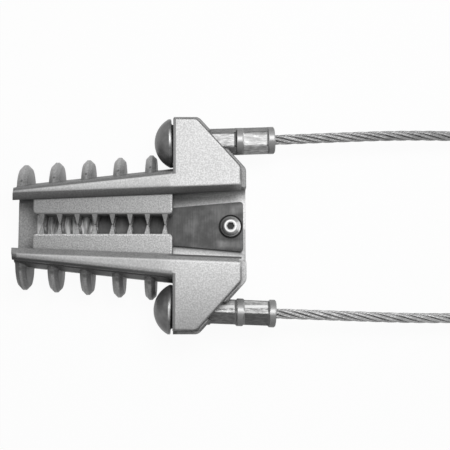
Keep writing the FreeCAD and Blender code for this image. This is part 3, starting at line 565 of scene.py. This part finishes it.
def cast_edges(tree, at, skin):
    """Painted shade on the ears' rounded rims and tilted flanges, painted light on their end faces, lighter
    lines and a strip on the ears, the lower rail's dark tip and a painted shadow line at the foot of the
    lower bevel.
    """
    # Painted shade on rims that turn away from the front.
    rim = all_of(tree, ranged(tree, at.front, 0.97, 0.86),
                 ranged(tree, at.past_mouth, 0.002, 0.003), at.open_end)
    near_edge = all_of(tree, within(tree, at.along, *EARS_NEAR_EDGE),
                       ranged(tree, at.past_crest, -0.0004, 0.0002))
    rim = all_of(tree, sums(tree, "MAXIMUM", rim, near_edge),
                 ranged(tree, at.height, 0.0360, 0.0368))
    skin = laid_on(tree, skin, rim, 0.9, 0.13)

    # Painted shade on the flanges tilted away from the front.
    flange = all_of(tree, ranged(tree, at.front, 0.88, 0.78), ranged(tree, at.along, 0.028, 0.031),
                    fading(tree, at.along, 0.0615, 0.0625), ranged(tree, at.past_crest, 0.001, 0.003))
    skin = toned_at(tree, skin, flange, 0.72)
    # Painted light on the end faces turned towards the lamp.
    end_face = all_of(tree, ranged(tree, at.wear["Facing End"], 0.25, 0.6),
                      ranged(tree, at.along, 0.0625, 0.0640))
    skin = toned_at(tree, skin, end_face, between(tree, at.lower, 1.15, 1.5))
    end_strip = all_of(tree, at.lower, ranged(tree, at.along, 0.0622, 0.0628),
                       ranged(tree, at.side, -0.040, -0.037), fading(tree, at.height, 0.0366, 0.0372))
    skin = toned_at(tree, skin, end_strip, 1.9)
    rail_tip = all_of(tree, at.lower, fading(tree, at.along, -0.0640, -0.0630),
                      ranged(tree, at.past_crest, -0.0020, -0.0008))
    skin = toned_at(tree, skin, rail_tip, 0.3)
    low_edge = all_of(tree, ranged(tree, at.side, -0.0612, -0.0616),
                      fading(tree, at.along, 0.044, 0.046), ranged(tree, at.along, 0.027, 0.028))
    skin = toned_at(tree, skin, low_edge, 2.3)

    slant = sums(tree, "MULTIPLY_ADD", at.along, 1.1, sums(tree, "ABSOLUTE", at.side))
    slant_line = all_of(tree, within(tree, slant, 0.1039, 0.1046), ranged(tree, at.along, 0.039, 0.041),
                        fading(tree, at.along, 0.0625, 0.0635), ranged(tree, at.height, 0.030, 0.031))
    skin = laid_on(tree, skin, slant_line, 0.75, 0.66)
    # Painted shadow line along the foot of the lower bevel.
    bevel_foot = all_of(tree, within(tree, at.height, 0.0347, 0.0355), at.inside, at.open_end, at.lower)
    return mixed(tree, bevel_foot, skin, grey(0.13))


def cast_channel_floor(tree, at, skin):
    """Strips of the channel's floor beside the plate in painted light and shadow, and its narrow end,
    scratched and painted bright.
    """
    on_floor = all_of(tree, fading(tree, at.height, 0.0185, 0.0195), at.inside)
    # Painted shade: each strip darkens from the plate towards the wall's shadow, the lower one with a
    # painted shadow line along the plate's edge.
    out = ranged(tree, at.past_plate, 0.0, 0.006)
    upper_strip = greys(tree, out, [(0.0, 0.76), (0.35, 0.54), (1.0, 0.34)])
    upper_strip = toned(tree, upper_strip, ranged(tree, at.along, 0.030, 0.055, 0.7, 1.3))
    lower_strip = greys(tree, out, [
        (0.0, 0.02), (0.10, 0.07), (0.26, 0.42), (0.5, 0.68), (0.75, 0.80)])
    # Painted light on the lit end of the lower strip.
    lit_end = ranged(tree, at.along, 0.0640, 0.0655)
    lower_strip = mixed(tree, lit_end, lower_strip, grey(0.56))
    strip = mixed(tree, at.lower, upper_strip, lower_strip)
    strip = toned(tree, strip, greys(tree, at.grain["Grain"], [(0.36, 0.75), (0.62, 1.0)]))
    skin = mixed(tree, all_of(tree, on_floor, at.open_end), skin, strip)

    # Scratches on the narrow end, painted bright as if lit where they show between the jaws.
    marks = use_group(tree, STREAKS, Stretch=(1.0, 0.15, 1.0), Streak_Width=0.0022)
    scratched = greys(tree, marks["Streaks"], [(0.38, 0.13), (0.50, 0.55), (0.60, 0.85)])
    narrow_end = all_of(tree, on_floor, within(tree, at.along, *SCRATCHED_FLOOR))
    return mixed(tree, narrow_end, skin, scratched)


def cast_finish():
    """Die-cast aluminium: front faces bright partly from blasting and partly as painted light, slopes and
    walls in painted shade, and painted shade in the corners.
    """
    material, tree, shader = new_finish("cast_aluminium", 0.12, 0.5)
    at = CastPlaces(tree)
    skin = toned(tree, cast_front(tree, at), cast_painted_falloff(tree, at))
    skin = toned(tree, skin, cast_painted_facing_shade(tree, at))
    skin = toned(tree, skin, greys(tree, at.grain["Patches"], [(0.3, 0.88), (0.7, 1.0)]))
    # Painted shade in corners and hollows.
    skin = laid_on(tree, skin, at.wear["Corner Shade"], 0.85, 0.05)
    skin = cast_edges(tree, at, skin)
    skin = cast_channel_floor(tree, at, skin)
    # Painted shade in the rib pits.
    skin = mixed(tree, pits(tree, at), skin, grey(0.09))
    tree.links.new(skin, shader.inputs["Base Color"])
    rough = ranged(tree, at.grain["Patches"], 0.3, 0.7, 0.42, 0.56)
    tree.links.new(rough, shader.inputs["Roughness"])
    bump(tree, shader, at.grain["Grain"], 0.00012, at.wear["Soft Normal"])
    return material


def jaw_finish():
    """Sand-cast jaw alloy: even grain with small bright crystals, in painted shade towards the narrow end,
    on the upper jaw, on walls and in corners, with painted highlights on the lower jaw's inner edge and the
    ends.
    """
    material, tree, shader = new_finish("jaw_alloy", 0.12, 0.55)
    grain = use_group(tree, GRAIN, Grain_Size=0.0007, Patch_Size=0.01)
    wear = use_group(tree, WEAR, Edge_Width=0.0004, Corner_Reach=0.005)
    here = place_on_part(tree)
    side = sums(tree, "ABSOLUTE", here["Y"])
    upper = ranged(tree, here["Y"], -0.003, 0.003)

    sand = greys(tree, grain["Grain"], [(0.38, 0.36), (0.5, 0.49), (0.62, 0.64)])
    # Painted shade: darker towards the narrow end and on the upper jaw.
    sand = toned(tree, sand, ranged(tree, here["X"], -0.055, 0.025, 0.64, 1.0))
    upper_tone = ranged(tree, side, 0.0052, 0.0058, 0.64, 0.82)
    sand = toned(tree, sand, between(tree, upper, 1.03, upper_tone))
    bright = laid_on(tree, sand, grain["Sparkle"], 0.3, 0.8)
    # Painted shade on walls turned from the front.
    level = ranged(tree, wear["Facing Front"], 0.5, 0.98)
    walls = mixed(tree, level, grey(0.24), bright)

    inner_edge = within(tree, side, 0.0059, 0.0065)
    end_edge = all_of(tree, ranged(tree, here["X"], 0.0233, 0.0238),
                      ranged(tree, side, 0.0060, 0.0064))
    specks = ranged(tree, grain["Grain"], 0.40, 0.60, 0.25, 1.0)
    # Painted highlight on the lower jaw's inner edge and the jaws' ends; painted shade on the upper jaw's
    # inner edge.
    edge_highlight = all_of(tree, inner_edge, between(tree, upper, 0.9, 0.0))
    edge_highlight = all_of(tree, sums(tree, "MAXIMUM", edge_highlight, end_edge), specks,
                    ranged(tree, here["Z"], 0.0325, 0.0330))
    walls = mixed(tree, edge_highlight, walls, grey(0.95))
    shaded = all_of(tree, inner_edge, upper, specks)
    walls = laid_on(tree, walls, shaded, 0.7, 0.14)
    # Painted shade in corners.
    skin = laid_on(tree, walls, wear["Corner Shade"], 0.8, 0.04)
    tree.links.new(skin, shader.inputs["Base Color"])
    bump(tree, shader, grain["Grain"], 0.0001, wear["Soft Normal"])
    return material


def from_screw(tree, here):
    """Distance from the screw's axis."""
    along = sums(tree, "SUBTRACT", here["X"], SCREW_PLACE)
    flat = place(tree, "ShaderNodeCombineXYZ", {0: along, 1: here["Y"]}).outputs[0]
    return vectors(tree, "LENGTH", flat)


def plate_finish():
    """Dark rolled steel plate with fine marks across it, painted lighter under the jaws, with painted shade
    in corners and a painted shadow ring round the washer.
    """
    material, tree, shader = new_finish("dark_plate_steel", 0.15, 0.42)
    shader.inputs["Specular IOR Level"].default_value = 0.15
    grain = use_group(tree, GRAIN, Grain_Size=0.0008, Patch_Size=0.011)
    streaks = use_group(tree, STREAKS, Stretch=(1.0, 0.05, 1.0), Streak_Width=0.0006)
    wear = use_group(tree, WEAR, Edge_Width=0.0003, Corner_Reach=0.004)
    here = place_on_part(tree)
    away = from_screw(tree, here)

    tone = greys(tree, streaks["Streaks"], [(0.3, 0.060), (0.7, 0.085)])
    tone = toned(tree, tone, greys(tree, grain["Patches"], [(0.32, 0.62), (0.5, 1.0), (0.66, 1.7)]))
    # Painted light: lighter towards the narrow end, under the jaws.
    tone = toned(tree, tone, ranged(tree, here["X"], 0.015, 0.040, 1.7, 1.05))
    below_screw = all_of(tree, within(tree, here["X"], 0.054, 0.064, 0.004),
                         within(tree, here["Y"], -0.0115, -0.0095, 0.002))
    above_screw = all_of(tree, within(tree, here["X"], 0.0605, 0.068, 0.003),
                         within(tree, here["Y"], 0.0090, 0.0120, 0.002))
    tone = toned_at(tree, tone, sums(tree, "ADD", below_screw, above_screw), 2.2)
    # Painted shade in corners.
    skin = laid_on(tree, tone, wear["Corner Shade"], 0.7, 0.02)
    skin = laid_on(tree, skin, wear["Edges"], 0.3, 0.4)
    # Painted shadow in the gap round the washer.
    ring = within(tree, away, 0.0058, 0.0070, 0.0002)
    skin = mixed(tree, ring, skin, grey(0.004))
    tree.links.new(skin, shader.inputs["Base Color"])
    bump(tree, shader, streaks["Streaks"], 0.00003, wear["Soft Normal"])
    return material


def fixing_finish():
    """Plated steel of the screw and its washer, with a painted highlight ring on the crown, painted shade
    in the socket and corners, and the washer painted lighter on one side with a painted glint.
    """
    material, tree, shader = new_finish("plated_steel", 0.2, 0.4)
    shader.inputs["Specular IOR Level"].default_value = 0.2
    grain = use_group(tree, GRAIN, Grain_Size=0.0005, Patch_Size=0.004)
    wear = use_group(tree, WEAR, Edge_Width=0.0003, Corner_Reach=0.003)
    here = place_on_part(tree)
    away = from_screw(tree, here)
    rightwards = sums(tree, "DIVIDE", sums(tree, "SUBTRACT", here["X"], SCREW_PLACE), away)

    # Painted shade in the socket and a painted highlight ring on the crown.
    crown = greys(tree, ranged(tree, away, 0.0, 0.006), [
        (0.30, 0.004), (0.345, 0.40), (0.45, 0.50), (0.50, 0.92), (0.62, 0.85), (0.66, 0.2)])
    # Painted light: the washer lighter towards the lamp's side, with a painted glint.
    washer = mixed(tree, ranged(tree, rightwards, -1.0, 1.0), grey(0.17), grey(0.46))
    glint = ranged(tree, rightwards, 0.80, 0.92)
    washer = mixed(tree, glint, washer, grey(1.0))
    tone = mixed(tree, ranged(tree, away, 0.0037, 0.0040), crown, washer)
    tone = toned(tree, tone, greys(tree, grain["Patches"], [(0.3, 0.8), (0.7, 1.0)]))
    # Painted shade in corners.
    skin = laid_on(tree, tone, wear["Corner Shade"], 0.9, 0.02)
    tree.links.new(skin, shader.inputs["Base Color"])
    bump(tree, shader, grain["Grain"], 0.00002, wear["Soft Normal"])
    return material


def sleeve_finish():
    """Turned and pressed stainless steel of the rope sleeves, with painted reflections: bright flats and
    collars, dark sides and bands, and painted light and shade beside the ears and at the steps.
    """
    material, tree, shader = new_finish("sleeve_steel", 0.15, 0.45)
    streaks = use_group(tree, STREAKS, Stretch=(0.25, 1.0, 1.0), Streak_Width=0.0009)
    wear = use_group(tree, WEAR, Edge_Width=0.0005, Corner_Reach=0.004)
    here = place_on_part(tree)
    upper = ranged(tree, here["Y"], -0.01, 0.01)
    lower = opposite(tree, upper)

    tone = greys(tree, streaks["Streaks"], [(0.38, 0.36), (0.5, 0.54), (0.62, 0.76)])
    # Painted reflection and shade: sides darker by which way they turn, flats facing the front bright.
    lower_side_up = ranged(tree, here["Y"], -0.0482, -0.0465, 1.12, 0.75)
    side_up = between(tree, upper, lower_side_up, 0.34)
    side_down = between(tree, upper, 0.15, 0.68)
    sides = between(tree, ranged(tree, wear["Facing Side"], 0.05, -0.25), side_up, side_down)
    front = all_of(tree, ranged(tree, wear["Facing Front"], 0.76, 0.94), upper,
                   fading(tree, here["Y"], 0.0532, 0.0538))
    pressed = toned(tree, tone, between(tree, front, sides, 1.0))
    # Painted light and shade beside the ear: the lower sleeve lighter, the upper darker.
    near_ear = fading(tree, here["X"], 0.0605, 0.0620)
    near_ear_tone = between(tree, upper, 1.28, 0.84)
    pressed = toned(tree, pressed, between(tree, near_ear, 0.96, near_ear_tone))

    # Painted reflections on the lower sleeve: a bright band, a dark band and a dark far side.
    gleam = all_of(tree, within(tree, here["Y"], -0.0478, -0.0467, 0.0005), lower)
    dark_reflection = all_of(tree, within(tree, here["Y"], -0.0491, -0.0485, 0.0004), lower,
                  ranged(tree, streaks["Streaks"], 0.56, 0.44))
    far_side = all_of(tree, ranged(tree, wear["Facing Side"], 0.78, 0.90), lower)
    for mask, share, level in ((gleam, 0.95, 1.0), (dark_reflection, 0.8, 0.25), (far_side, 0.9, 0.14)):
        pressed = laid_on(tree, pressed, mask, share, level)

    # Painted reflection on the collars, brightest where they turn towards the lamp's side.
    turned = sums(tree, "ADD", wear["Facing Side"], ranged(tree, here["Y"], -0.01, 0.01, 0.0, 0.10))
    round_bar = greys(tree, ranged(tree, turned, -1.0, 1.0), [
        (0.15, 0.20), (0.43, 0.26), (0.53, 0.66), (0.59, 0.70), (0.68, 0.38), (0.82, 0.28), (0.95, 0.24)])
    collars = sums(tree, "ADD", within(tree, here["X"], *NEAR_COLLAR), within(tree, here["X"], *FAR_COLLAR))
    skin = mixed(tree, collars, pressed, round_bar)
    # Painted shade at the steps beside the collars.
    facing = ranged(tree, wear["Facing Front"], 0.55, 0.7)
    near_step = all_of(tree, within(tree, here["X"], 0.0604, 0.0620, 0.0002), facing)
    skin = mixed(tree, near_step, skin, between(tree, upper, 0.14, 0.02))
    far_step = all_of(tree, within(tree, here["X"], 0.0797, 0.0806, 0.0002), facing)
    skin = mixed(tree, far_step, skin, grey(0.10))
    # Painted shade in corners.
    skin = laid_on(tree, skin, wear["Corner Shade"], 0.8, 0.05)
    tree.links.new(skin, shader.inputs["Base Color"])
    bump(tree, shader, streaks["Streaks"], 0.00003, wear["Soft Normal"])
    return material


def head_finish():
    """Dull forged steel of the domed heads, with worn lighter edges, painted shade in corners and a painted
    highlight strip beside the ear.
    """
    material, tree, shader = new_finish("head_steel", 0.45, 0.4)
    grain = use_group(tree, GRAIN, Grain_Size=0.0012, Patch_Size=0.006)
    wear = use_group(tree, WEAR, Edge_Width=0.0005, Corner_Reach=0.004)
    here = place_on_part(tree)
    side = sums(tree, "ABSOLUTE", here["Y"])
    skin = greys(tree, grain["Patches"], [(0.3, 0.10), (0.7, 0.19)])
    # Painted shade in corners.
    skin = laid_on(tree, skin, wear["Corner Shade"], 0.6, 0.02)
    skin = laid_on(tree, skin, wear["Edges"], 0.6, 0.5)
    # Painted highlight strip on the dome's rim beside the ear.
    shine = all_of(tree, within(tree, here["X"], 0.0226, 0.0231, 0.0005),
                   within(tree, side, 0.0480, 0.0515, 0.004),
                   ranged(tree, wear["Facing Front"], 0.2, 0.4))
    skin = laid_on(tree, skin, shine, 0.7, 0.7)
    tree.links.new(skin, shader.inputs["Base Color"])
    bump(tree, shader, grain["Grain"], 0.00005, wear["Soft Normal"])
    return material


def rope_finish():
    """Bright drawn wire, darker on the upper rope, with painted shade between the strands."""
    material, tree, shader = new_finish("rope_wire", 0.6, 0.36)
    grain = use_group(tree, GRAIN, Grain_Size=0.0009, Patch_Size=0.005)
    wear = use_group(tree, WEAR, Edge_Width=0.0001, Corner_Reach=0.0012)
    tone = greys(tree, grain["Patches"], [(0.3, 0.27), (0.7, 0.48)])
    side = place_on_part(tree)["Y"]
    tone = toned(tree, tone, ranged(tree, side, -0.02, 0.02, 1.0, 0.78))
    # Painted shade between the strands.
    skin = mixed(tree, wear["Corner Shade"], tone, grey(0.02))
    tree.links.new(skin, shader.inputs["Base Color"])
    bump(tree, shader, grain["Grain"], 0.00002)
    return material


# Light and floor

def make_lamp(name, stand, aim, size, power):
    """Square soft lamp that faces a point."""
    data = bpy.data.lights.new(name, "AREA")
    data.size = size
    data.energy = power
    lamp = link(bpy.data.objects.new(name, data))
    lamp.location = stand
    lamp.rotation_euler = (Vector(aim) - Vector(stand)).to_track_quat("-Z", "Y").to_euler()


def seen_directly(tree):
    """One where a ray comes from the camera, a reflection or glass, and zero elsewhere."""
    path = place(tree, "ShaderNodeLightPath").outputs
    some = sums(tree, "ADD", path["Is Camera Ray"], path["Is Glossy Ray"])
    return place(tree, "ShaderNodeMath", {0: some, 1: path["Is Transmission Ray"]},
                 operation="ADD", use_clamp=True).outputs[0]


def make_world(fill_light):
    """White surroundings to look at, with a gentle fill light."""
    world = bpy.data.worlds.new("studio")
    bpy.context.scene.world = world
    world.use_nodes = True
    tree = world.node_tree
    shader = tree.nodes["Background"]
    strength = ranged(tree, seen_directly(tree), 0.0, 1.0, fill_light, 1.0)
    tree.links.new(strength, shader.inputs["Strength"])
    shader.inputs["Color"].default_value = grey(1.0)


def make_floor(half, paper_grey, glow_share):
    """Plain pale floor that keeps a soft shadow."""
    mesh = bpy.data.meshes.new("floor")
    corners = [(-half, -half, 0), (half, -half, 0), (half, half, 0), (-half, half, 0)]
    mesh.from_pydata(corners, [], [(0, 1, 2, 3)])
    floor = link(bpy.data.objects.new("floor", mesh))
    material = bpy.data.materials.new("pale_floor")
    material.use_nodes = True
    tree = material.node_tree
    tree.nodes.remove(tree.nodes["Principled BSDF"])
    paper = place(tree, "ShaderNodeBsdfDiffuse", {"Color": grey(paper_grey)})
    white = place(tree, "ShaderNodeEmission", {"Color": grey(1.0), "Strength": 1.0})
    share = sums(tree, "MULTIPLY", seen_directly(tree), glow_share)
    both = place(tree, "ShaderNodeMixShader", {0: share, 1: paper.outputs[0], 2: white.outputs[0]})
    tree.links.new(both.outputs[0], tree.nodes["Material Output"].inputs["Surface"])
    mesh.materials.append(material)


make_camera()
make_rope(rope_finish())
make_lamp("key_lamp", stand=(0.12, 0.14, 0.49), aim=(0.01, 0, 0.03), size=0.26, power=1.65)
make_world(fill_light=0.2)
make_floor(half=3.0, paper_grey=0.9, glow_share=0.95)

FINISHES = {
    "clamp_body": cast_finish(),
    "wedge_jaw_left": jaw_finish(),
    "keeper_plate": plate_finish(),
    "keeper_screw": fixing_finish(),
    "bail_head_left": head_finish(),
    "bail_sleeve_left": sleeve_finish(),
}
FINISHES["wedge_jaw_right"] = FINISHES["wedge_jaw_left"]
FINISHES["keeper_washer"] = FINISHES["keeper_screw"]
FINISHES["bail_head_right"] = FINISHES["bail_head_left"]
FINISHES["bail_sleeve_right"] = FINISHES["bail_sleeve_left"]
for node, finish in FINISHES.items():
    materials = NODES[node].data.materials
    materials.clear()
    materials.append(finish)

bpy.context.scene.view_settings.view_transform = "Standard"
